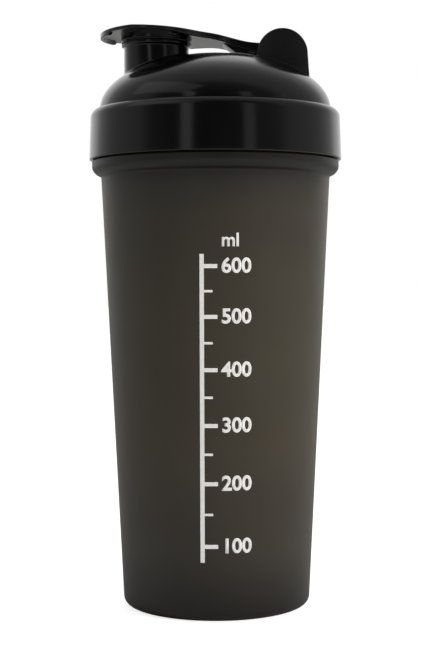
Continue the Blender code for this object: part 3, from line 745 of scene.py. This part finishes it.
def foot_fillet(loop, radius):
    """A concave weld of material where an upright wall stands on the dome; loop holds wall
    points and their outward directions in plan."""
    buried = 0.5 * MM
    skin = 0.02 * MM
    columns = []
    for (x, y), (out_x, out_y) in loop:
        foot = dome_height(x, y)
        far = dome_height(x + out_x * radius, y + out_y * radius)
        section = [(-buried, foot - 1.0 * MM), (-buried, foot + radius)]
        start = (-skin, foot + radius)
        bend = (-skin, foot - skin)
        end = (radius, far - skin)
        for step in range(9):
            share = step / 8
            section.append(tuple(
                (1 - share) ** 2 * a + 2 * share * (1 - share) * b + share ** 2 * c
                for a, b, c in zip(start, bend, end)))
        section.append((radius, far - 1.0 * MM))
        columns.append([(x + out_x * out, y + out_y * out, up) for out, up in section])
    mesh = ring_loft(columns, "foot_fillet", cap_ends=False, closed=True)
    return new_piece("foot_fillet", mesh)


def round_loop(centre_x, radius, count):
    loop = []
    for index in range(count):
        angle = math.tau * (index + 0.5) / count
        out = (math.cos(angle), math.sin(angle))
        loop.append(((centre_x + radius * out[0], radius * out[1]), out))
    return loop


def ear_loop(side):
    """Foot of an ear in plan: a rounded rectangle, walked once round."""
    corner = 0.8 * MM
    left = HINGE.x - EAR_ARCH
    right = HINGE.x + EAR_ARCH + 0.5 * MM
    corners = [
        (right - corner, EAR_OUTER - corner, 0.0), (left + corner, EAR_OUTER - corner, 90.0),
        (left + corner, EAR_INNER + corner, 180.0), (right - corner, EAR_INNER + corner, 270.0)]
    points = []
    for x, y, first in corners:
        for step in range(9):
            angle = math.radians(first + 90.0 * step / 8)
            out = (math.cos(angle), math.sin(angle))
            points.append(((x + corner * out[0], y + corner * out[1]), out))
    loop = []
    for here, following in zip(points, points[1:] + points[:1]):
        loop.append(here)
        run = math.dist(here[0], following[0])
        parts = int(run / (0.9 * MM))
        for part in range(1, parts):
            share = part / parts
            loop.append((tuple(a + (b - a) * share for a, b in zip(here[0], following[0])), here[1]))
    return [((x, side * crowned(x, y)), (out_x, side * out_y)) for (x, y), (out_x, out_y) in loop]


def cross_cylinder(name, radius, half_length, edge, segments=64):
    """A cylinder along Y on the hinge axis, its end edges rounded."""
    profile = rounded([
        (0.0, half_length, 0.0), (radius, half_length, edge),
        (radius, -half_length, edge), (0.0, -half_length, 0.0)])
    mesh = turned(profile, segments)
    mesh.transform(mathutils.Matrix.Rotation(math.pi / 2, 4, "X"))
    mesh.transform(mathutils.Matrix.Translation((HINGE.x, 0.0, HINGE.z)))
    return new_piece(name, mesh)


def make_lid():
    lid = lid_shell()
    for side in (-1.0, 1.0):
        combine(lid, ear(side), "UNION")
        combine(lid, foot_fillet(ear_loop(side), 0.9 * MM), "UNION")
    tube_profile = rounded([
        (0.0, SPOUT_TOP, 0.0),
        (13.9 * MM, SPOUT_TOP, 0.5 * MM),
        (13.9 * MM, SPOUT_TOP - 1.5 * MM, 0.5 * MM),
        (SPOUT_RADIUS, SPOUT_TOP - 1.9 * MM, 0.6 * MM),
        (SPOUT_RADIUS, 207.0 * MM, 0.0),
        (0.0, 207.0 * MM, 0.0)])
    combine(lid, new_piece("spout_tube", turned(tube_profile, 128, centre=(SPOUT_X, 0.0))), "UNION")
    combine(lid, foot_fillet(round_loop(SPOUT_X, SPOUT_RADIUS, 128), 1.2 * MM), "UNION")
    under = [(0.0, DOME_BASE + DOME_HEIGHT - DOME_WALL)]
    for index in range(1, 31):
        angle = math.radians(90.0 - 86.0 * index / 30)
        under.append(((DOME_RADIUS - DOME_WALL) * math.cos(angle),
                      DOME_BASE + (DOME_HEIGHT - DOME_WALL) * math.sin(angle)))
    under += [(43.6 * MM, 196.0 * MM), (0.0, 196.0 * MM)]
    combine(lid, new_piece("under_dome", turned(under, 192)), "DIFFERENCE")
    bore_profile = rounded([
        (0.0, 190.0 * MM, 0.0), (10.2 * MM, 190.0 * MM, 0.0), (10.2 * MM, SPOUT_TOP - 0.1 * MM, 0.6 * MM),
        (11.4 * MM, SPOUT_TOP + 1.0 * MM, 0.0), (0.0, SPOUT_TOP + 1.0 * MM, 0.0)])
    combine(lid, new_piece("spout_bore", turned(bore_profile, 128, centre=(SPOUT_X, 0.0))), "DIFFERENCE")
    combine(lid, cross_cylinder("pin_sockets", 2.3 * MM, 12.4 * MM, 0.3 * MM), "DIFFERENCE")
    ridge = grown("lid_thread", THREAD_TREE, THREAD_INPUTS, {
        "Radius": SKIRT_BORE, "Turns": 1.17, "Start Height": 177.42 * MM, "Start Turn": 0.17,
        "Ridge": 1.2 * MM, "Material": LID_BLACK})
    combine(lid, ridge, "UNION")
    lid.data.materials.clear()
    lid.data.materials.append(LID_BLACK)
    smooth(lid.data)
    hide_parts("lid")
    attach(lid, "lid")


make_lid()


# Lid seal. A flat ring punched from grey silicone, pressed up into the lid's roof; the cup's
# rim closes against it.
def silicone(name, colour):
    """Silicone rubber: matt, slightly waxy, with a fine dusty grain."""
    material, tree, shader = new_material(name, Roughness=0.62, IOR=1.41)
    place = add_node(tree, "ShaderNodeTexCoord")
    grain = add_node(tree, "ShaderNodeTexNoise", {"Scale": 900.0, "Detail": 3.0},
                     Vector=place.outputs["Object"])
    ramp = add_node(tree, "ShaderNodeValToRGB", i0=grain.outputs["Fac"])
    ramp.color_ramp.elements[0].color = linear(colour)
    ramp.color_ramp.elements[1].color = linear("#8f8f8d")
    ramp.color_ramp.elements[0].position = 0.3
    tree.links.new(ramp.outputs[0], shader.inputs["Base Color"])
    bump = add_node(tree, "ShaderNodeBump", {"Strength": 0.12, "Distance": 0.00004},
                    Height=grain.outputs["Fac"])
    tree.links.new(bump.outputs[0], shader.inputs["Normal"])
    return material


def make_lid_seal():
    low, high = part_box("lid_seal")
    outer = high.x
    inner = 43.65 * MM
    profile = rounded([
        (outer, high.z, 0.3 * MM), (outer, low.z, 0.3 * MM),
        (inner, low.z, 0.3 * MM), (inner, high.z, 0.3 * MM),
        (outer, high.z, 0.3 * MM)], steps=4)
    profile = [(outer - 0.3 * MM, high.z)] + profile[1:-1]
    seal = new_piece("lid_gasket", turned(profile, 160, closed=True))
    seal.data.materials.append(silicone("silicone_gasket_grey", "#77777a"))
    smooth(seal.data)
    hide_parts("lid_seal")
    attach(seal, "seal_ring")


make_lid_seal()


# Mixing grid. A thin strainer disc with a short wall, moulded in black polypropylene; round
# holes in offset rows break up the powder.
def sieve_tree():
    """Geometry Nodes: a disc pierced by round holes in offset rows."""
    tree = bpy.data.node_groups.new("sieve_disc", "GeometryNodeTree")
    inputs = {}
    for name, kind, value in (
        ("Radius", "NodeSocketFloat", 0.0386),
        ("Hole Radius", "NodeSocketFloat", 0.0033),
        ("Pitch", "NodeSocketFloat", 0.0092),
        ("Thickness", "NodeSocketFloat", 0.0016),
        ("Limit", "NodeSocketFloat", 0.0347),
        ("Height", "NodeSocketFloat", 0.1882),
        ("Material", "NodeSocketMaterial", None),
    ):
        socket = tree.interface.new_socket(name, in_out="INPUT", socket_type=kind)
        if value is not None:
            socket.default_value = value
        inputs[name] = socket.identifier
    tree.interface.new_socket("Geometry", in_out="OUTPUT", socket_type="NodeSocketGeometry")
    source = add_node(tree, "NodeGroupInput")

    def maths(operation, first, second):
        node = add_node(tree, "ShaderNodeMath", {"operation": operation})
        for socket, value in zip(node.inputs, (first, second)):
            if isinstance(value, (int, float)):
                socket.default_value = value
            else:
                tree.links.new(value, socket)
        return node.outputs[0]

    columns = 15
    rows = 15
    points = add_node(tree, "GeometryNodeMeshGrid", {
        "Vertices X": columns, "Vertices Y": rows, "Size X": columns - 1.0, "Size Y": rows - 1.0})
    where = add_node(tree, "GeometryNodeInputPosition")
    cell = add_node(tree, "ShaderNodeSeparateXYZ", i0=where.outputs[0])
    odd = maths("MODULO", maths("ABSOLUTE", maths("ROUND", cell.outputs["Y"], 0.0), 0.0), 2.0)
    pitch = source.outputs["Pitch"]
    across = maths("MULTIPLY", maths("ADD", cell.outputs["X"], maths("MULTIPLY", odd, 0.5)), pitch)
    along = maths("MULTIPLY", maths("MULTIPLY", cell.outputs["Y"], math.sqrt(3.0) / 2.0), pitch)
    spot = add_node(tree, "ShaderNodeCombineXYZ", X=across, Y=along)
    laid = add_node(tree, "GeometryNodeSetPosition", Geometry=points.outputs["Mesh"],
                    Position=spot.outputs[0])
    again = add_node(tree, "GeometryNodeInputPosition")
    reach = add_node(tree, "ShaderNodeVectorMath", {"operation": "LENGTH"}, i0=again.outputs[0])
    outside = add_node(tree, "FunctionNodeCompare", {"data_type": "FLOAT", "operation": "GREATER_THAN"},
                       A=reach.outputs["Value"], B=source.outputs["Limit"])
    kept = add_node(tree, "GeometryNodeDeleteGeometry", {"domain": "POINT"}, Geometry=laid.outputs[0],
                    Selection=outside.outputs[0])
    drill = add_node(tree, "GeometryNodeMeshCylinder", {"Vertices": 24},
                     Radius=source.outputs["Hole Radius"],
                     Depth=maths("MULTIPLY", source.outputs["Thickness"], 2.0))
    drills = add_node(tree, "GeometryNodeInstanceOnPoints", Points=kept.outputs[0],
                      Instance=drill.outputs["Mesh"])
    disc = add_node(tree, "GeometryNodeMeshCylinder", {"Vertices": 160}, Radius=source.outputs["Radius"],
                    Depth=source.outputs["Thickness"])
    pierced = add_node(tree, "GeometryNodeMeshBoolean", {"operation": "DIFFERENCE"},
                       i0=disc.outputs["Mesh"], i1=drills.outputs[0])
    lift = add_node(tree, "ShaderNodeCombineXYZ", Z=source.outputs["Height"])
    raised = add_node(tree, "GeometryNodeTransform", Geometry=pierced.outputs["Mesh"],
                      Translation=lift.outputs[0])
    real = add_node(tree, "GeometryNodeRealizeInstances", Geometry=raised.outputs[0])
    dressed = add_node(tree, "GeometryNodeSetMaterial", Geometry=real.outputs[0],
                       Material=source.outputs["Material"])
    add_node(tree, "NodeGroupOutput", Geometry=dressed.outputs[0])
    return tree, inputs


def satin_black():
    """Black polypropylene from a spark-eroded mould: satin, with a fine even grain."""
    material, tree, shader = new_material("black_polypropylene_satin", Roughness=0.38, IOR=1.49)
    place = add_node(tree, "ShaderNodeTexCoord")
    grain = add_node(tree, "ShaderNodeTexNoise", {"Scale": 2200.0, "Detail": 2.0},
                     Vector=place.outputs["Object"])
    ramp = add_node(tree, "ShaderNodeValToRGB", i0=grain.outputs["Fac"])
    ramp.color_ramp.elements[0].color = linear("#151515")
    ramp.color_ramp.elements[1].color = linear("#1d1c1c")
    tree.links.new(ramp.outputs[0], shader.inputs["Base Color"])
    bump = add_node(tree, "ShaderNodeBump", {"Strength": 0.2, "Distance": 0.00004},
                    Height=grain.outputs["Fac"])
    tree.links.new(bump.outputs[0], shader.inputs["Normal"])
    return material


def make_grid():
    low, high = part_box("mixing_grid")
    tree, inputs = sieve_tree()
    black = satin_black()
    disc = grown("sieve_disc", tree, inputs, {"Height": low.z + 0.8 * MM, "Material": black})
    wall = rounded([
        (high.x - 1.5 * MM, high.z, 0.5 * MM), (high.x, high.z, 0.5 * MM), (high.x, low.z, 0.5 * MM),
        (37.6 * MM, low.z, 0.0), (37.6 * MM, low.z + 1.6 * MM, 0.0),
        (high.x - 1.5 * MM, low.z + 1.6 * MM, 0.5 * MM),
        (high.x - 1.5 * MM, high.z, 0.5 * MM)], steps=5)
    grid = new_piece("mixing_sieve", turned(wall[1:], 160, closed=True))
    combine(grid, disc, "UNION")
    grid.data.materials.clear()
    grid.data.materials.append(black)
    smooth(grid.data)
    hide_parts("mixing_grid")
    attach(grid, "lid")


make_grid()


# Flip cap. One black polypropylene moulding: a round plate with a turned-down finger lip, an
# arm stiffened by a middle rib, and a knuckle whose pins snap into the ears.
cap_low, cap_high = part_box("flip_cap")
PLATE_RADIUS = 22.3 * MM
PLATE_TOP = cap_high.z
PLATE_THICKNESS = 1.4 * MM
NECK_START = -8.85 * MM
NECK_END = 12.0 * MM
KNUCKLE_HALF = 9.1 * MM
LIP_END = -41.3 * MM
LIP_LOW = 223.6 * MM
CAP_BLACK = gloss_black("black_polypropylene_cap_polished", "#0b0a0b", 0.17)


def ease(value):
    value = min(max(value, 0.0), 1.0)
    return value * value * (3.0 - 2.0 * value)


def arm_top(x):
    """Top of plate and arm: almost flat over the spout, then bent down to the hinge."""
    start = -32.6 * MM
    slope = 0.065 * max(0.0, x - start) + 0.045 * max(0.0, start - x)
    return PLATE_TOP - slope - 2.2 * MM * ease((x + 2.0 * MM) / (18.0 * MM))


def arm_under(x):
    """Underside of plate and arm: thin over the spout, thickest at the hinge."""
    arm = 0.9 * MM * ease((x + 20.0 * MM) / (11.0 * MM))
    heel = 1.7 * MM * ease((x - 2.0 * MM) / (15.0 * MM))
    return arm_top(x) - PLATE_THICKNESS - arm - heel


def rim_bottom(x):
    """Lower edge of the rim: the underside, or the finger lip at the tip."""
    plain = arm_under(x)
    lip = ease((LIP_END + 0.5 * MM - x) / (1.0 * MM))
    return plain + (LIP_LOW - plain) * lip


def half_width(x):
    """Half width of the arm between the round plate and the ears."""
    span = NECK_END - NECK_START
    share = min(max((x - NECK_START) / span, 0.0), 1.0)
    first = math.sqrt(PLATE_RADIUS ** 2 - (NECK_START - SPOUT_X) ** 2)
    slope = -(NECK_START - SPOUT_X) / first * span
    stay = 2 * share ** 3 - 3 * share ** 2 + 1
    lean = share ** 3 - 2 * share ** 2 + share
    return stay * first + lean * slope + (1 - stay) * KNUCKLE_HALF


def cap_plan():
    """Outline in plan, walked once round, as points and inward directions."""
    points = []
    first = math.acos((NECK_START - SPOUT_X) / PLATE_RADIUS)
    steps = 150
    for index in range(steps + 1):
        angle = first + (math.tau - 2 * first) * index / steps
        points.append((SPOUT_X + PLATE_RADIUS * math.cos(angle), PLATE_RADIUS * math.sin(angle)))
    lower = []
    for index in range(1, 29):
        x = NECK_START + (NECK_END - NECK_START) * index / 28
        lower.append((x, -half_width(x)))
    for index in range(1, 13):
        lower.append((NECK_END + (HINGE.x - 0.6 * MM - NECK_END) * index / 12, -KNUCKLE_HALF))
    points += lower
    points += [(x, -y) for x, y in reversed(lower)]
    walked = []
    count = len(points)
    for index, (x, y) in enumerate(points):
        before = points[index - 1]
        after = points[(index + 1) % count]
        run_x, run_y = after[0] - before[0], after[1] - before[1]
        length = math.hypot(run_x, run_y)
        walked.append(((x, y), (-run_y / length, run_x / length)))
    return walked


def cap_body():
    """Plate, arm and lip as one closed skin over the outline."""
    plan = cap_plan()
    edge = 0.6 * MM
    foot = 0.4 * MM
    lip_wall = 1.6 * MM
    rings = []

    def ring(inset, height):
        row = []
        for (x, y), (in_x, in_y) in plan:
            px, py = x + in_x * inset, y + in_y * inset
            row.append((px, py, height(px, x)))
        rings.append(row)

    spine = []
    for (x, y), _ in plan:
        spine.append((min(max(x, SPOUT_X), HINGE.x - 3.0 * MM), 0.0))

    def toward(share, inset, height):
        row = []
        for ((x, y), (in_x, in_y)), (sx, sy) in zip(plan, spine):
            px, py = x + in_x * inset, y + in_y * inset
            px, py = px + (sx - px) * share, py + (sy - py) * share
            row.append((px, py, height(px, x)))
        rings.append(row)

    for share in (1.0, 0.7, 0.4, 0.15):
        toward(share, edge + 0.3 * MM, lambda here, rim: arm_top(here))
    for step in range(7):
        angle = math.radians(90.0 * step / 6)
        inset = edge * (1.0 - math.sin(angle))
        drop = edge * (1.0 - math.cos(angle))
        ring(inset, lambda here, rim, drop=drop: arm_top(here) - drop)
    for share in (0.33, 0.66):
        ring(0.0, lambda here, rim, share=share:
             (arm_top(here) - edge) * (1 - share) + (rim_bottom(rim) + foot) * share)
    for step in range(5):
        angle = math.radians(90.0 * step / 4)
        inset = foot * (1.0 - math.cos(angle))
        rise = foot * (1.0 - math.sin(angle))
        ring(inset, lambda here, rim, rise=rise: rim_bottom(rim) + rise)
    for step in range(5):
        angle = math.radians(90.0 * step / 4)
        inset = lip_wall - foot * (1.0 - math.sin(angle))
        rise = foot * (1.0 - math.cos(angle))
        ring(inset, lambda here, rim, rise=rise: min(
            rim_bottom(rim) + rise, arm_under(here) - 0.01 * MM))
    for step in range(1, 6):
        angle = math.radians(90.0 * step / 5)
        inset = lip_wall + 0.1 * MM + 0.5 * MM * (1.0 - math.cos(angle))
        up = 0.5 * MM * (1.0 - math.sin(angle))
        ring(inset, lambda here, rim, up=up: max(
            arm_under(here) - up, min(rim_bottom(rim) + foot, arm_under(here))))
    for share in (0.2, 0.5, 0.8, 1.0):
        toward(share, lip_wall + 0.7 * MM, lambda here, rim: arm_under(here))
    mesh = ring_loft(rings, "flip_cap_body", cap_ends=False)
    shape = bmesh.new()
    shape.from_mesh(mesh)
    bmesh.ops.remove_doubles(shape, verts=shape.verts, dist=0.004 * MM)
    bmesh.ops.dissolve_degenerate(shape, edges=shape.edges, dist=0.002 * MM)
    bmesh.ops.holes_fill(shape, edges=shape.edges, sides=0)
    bmesh.ops.recalc_face_normals(shape, faces=shape.faces)
    shape.to_mesh(mesh)
    shape.free()
    return new_piece("flip_cap", mesh)


def cap_rib():
    """The rib under the arm: its lower edge follows the dome, its edges are rounded."""
    half = 6.0 * MM
    edge = 0.5 * MM
    low = []
    for index in range(21):
        x = 7.8 * MM + (24.0 - 7.8) * MM * index / 20
        low.append((x, dome_height(x) + 0.9 * MM))
    outline = [(0.6 * MM, arm_top(0.6 * MM) - 0.9 * MM)] + low
    outline += [(24.0 * MM, arm_top(24.0 * MM) - 0.9 * MM), (12.0 * MM, arm_top(12.0 * MM) - 0.9 * MM)]
    middle = mathutils.Vector((13.0 * MM, 221.0 * MM))
    rings = []
    for step in range(6):
        angle = math.radians(90.0 * step / 5)
        shrink = edge * (1.0 - math.sin(angle))
        y = -half + edge * (1.0 - math.cos(angle))
        rings.append((shrink, y))
    rings += [(shrink, -y) for shrink, y in reversed(rings)]
    rows = []
    for shrink, y in rings:
        row = []
        for index, point in enumerate(outline):
            before = mathutils.Vector(outline[index - 1])
            after = mathutils.Vector(outline[(index + 1) % len(outline)])
            run = (after - before).normalized()
            inward = mathutils.Vector((-run.y, run.x))
            if inward.dot(middle - mathutils.Vector(point)) < 0:
                inward = -inward
            spot = mathutils.Vector(point) + inward * shrink
            row.append((spot.x, y, spot.y))
        rows.append(row)
    return new_piece("cap_rib", ring_loft(rows, "cap_rib"))


def make_flip_cap():
    cap = cap_body()
    closure_low = 222.7 * MM
    closure = new_piece("closure_skirt", turned(rounded([
        (0.0, closure_low, 0.0), (14.0 * MM, closure_low, 0.35 * MM), (14.0 * MM, 224.9 * MM, 0.0),
        (0.0, 224.9 * MM, 0.0)]), 128, centre=(SPOUT_X, 0.0)))
    combine(cap, closure, "UNION")
    seat = new_piece("seal_seat", turned(rounded([
        (0.0, 221.0 * MM, 0.0), (12.4 * MM, 221.0 * MM, 0.0), (12.4 * MM, 224.0 * MM, 0.2 * MM),
        (0.0, 224.0 * MM, 0.0)]), 128, centre=(SPOUT_X, 0.0)))
    combine(cap, seat, "DIFFERENCE")
    combine(cap, cap_rib(), "UNION")
    combine(cap, cross_cylinder("cap_knuckle", 3.4 * MM, KNUCKLE_HALF, 0.4 * MM), "UNION")
    combine(cap, cross_cylinder("cap_pins", 2.0 * MM, 12.1 * MM, 0.3 * MM), "UNION")
    cap.data.materials.clear()
    cap.data.materials.append(CAP_BLACK)
    smooth(cap.data)
    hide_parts("flip_cap")
    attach(cap, "flip_cap")


make_flip_cap()


# Spout seal. A soft grey silicone plug pressed into the flip cap's skirt; its hollow nose
# seals the inside of the spout.
def make_spout_seal():
    low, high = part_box("spout_seal")
    nose = 9.6 * MM
    profile = rounded([
        (0.0, high.z, 0.0), (high.x - SPOUT_X, high.z, 0.2 * MM), (high.x - SPOUT_X, 222.5 * MM, 0.3 * MM),
        (nose, 222.5 * MM, 0.2 * MM), (nose, low.z + 1.4 * MM, 0.4 * MM), (nose - 0.4 * MM, low.z, 0.5 * MM),
        (nose - 1.6 * MM, low.z, 0.3 * MM), (nose - 2.0 * MM, low.z + 3.4 * MM, 0.8 * MM),
        (0.0, low.z + 3.4 * MM, 0.0)])
    plug = new_piece("spout_plug", turned(profile, 112, centre=(SPOUT_X, 0.0)))
    plug.data.materials.append(silicone("silicone_plug_grey", "#7c7c7e"))
    smooth(plug.data)
    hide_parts("spout_seal")
    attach(plug, "flip_cap")


make_spout_seal()
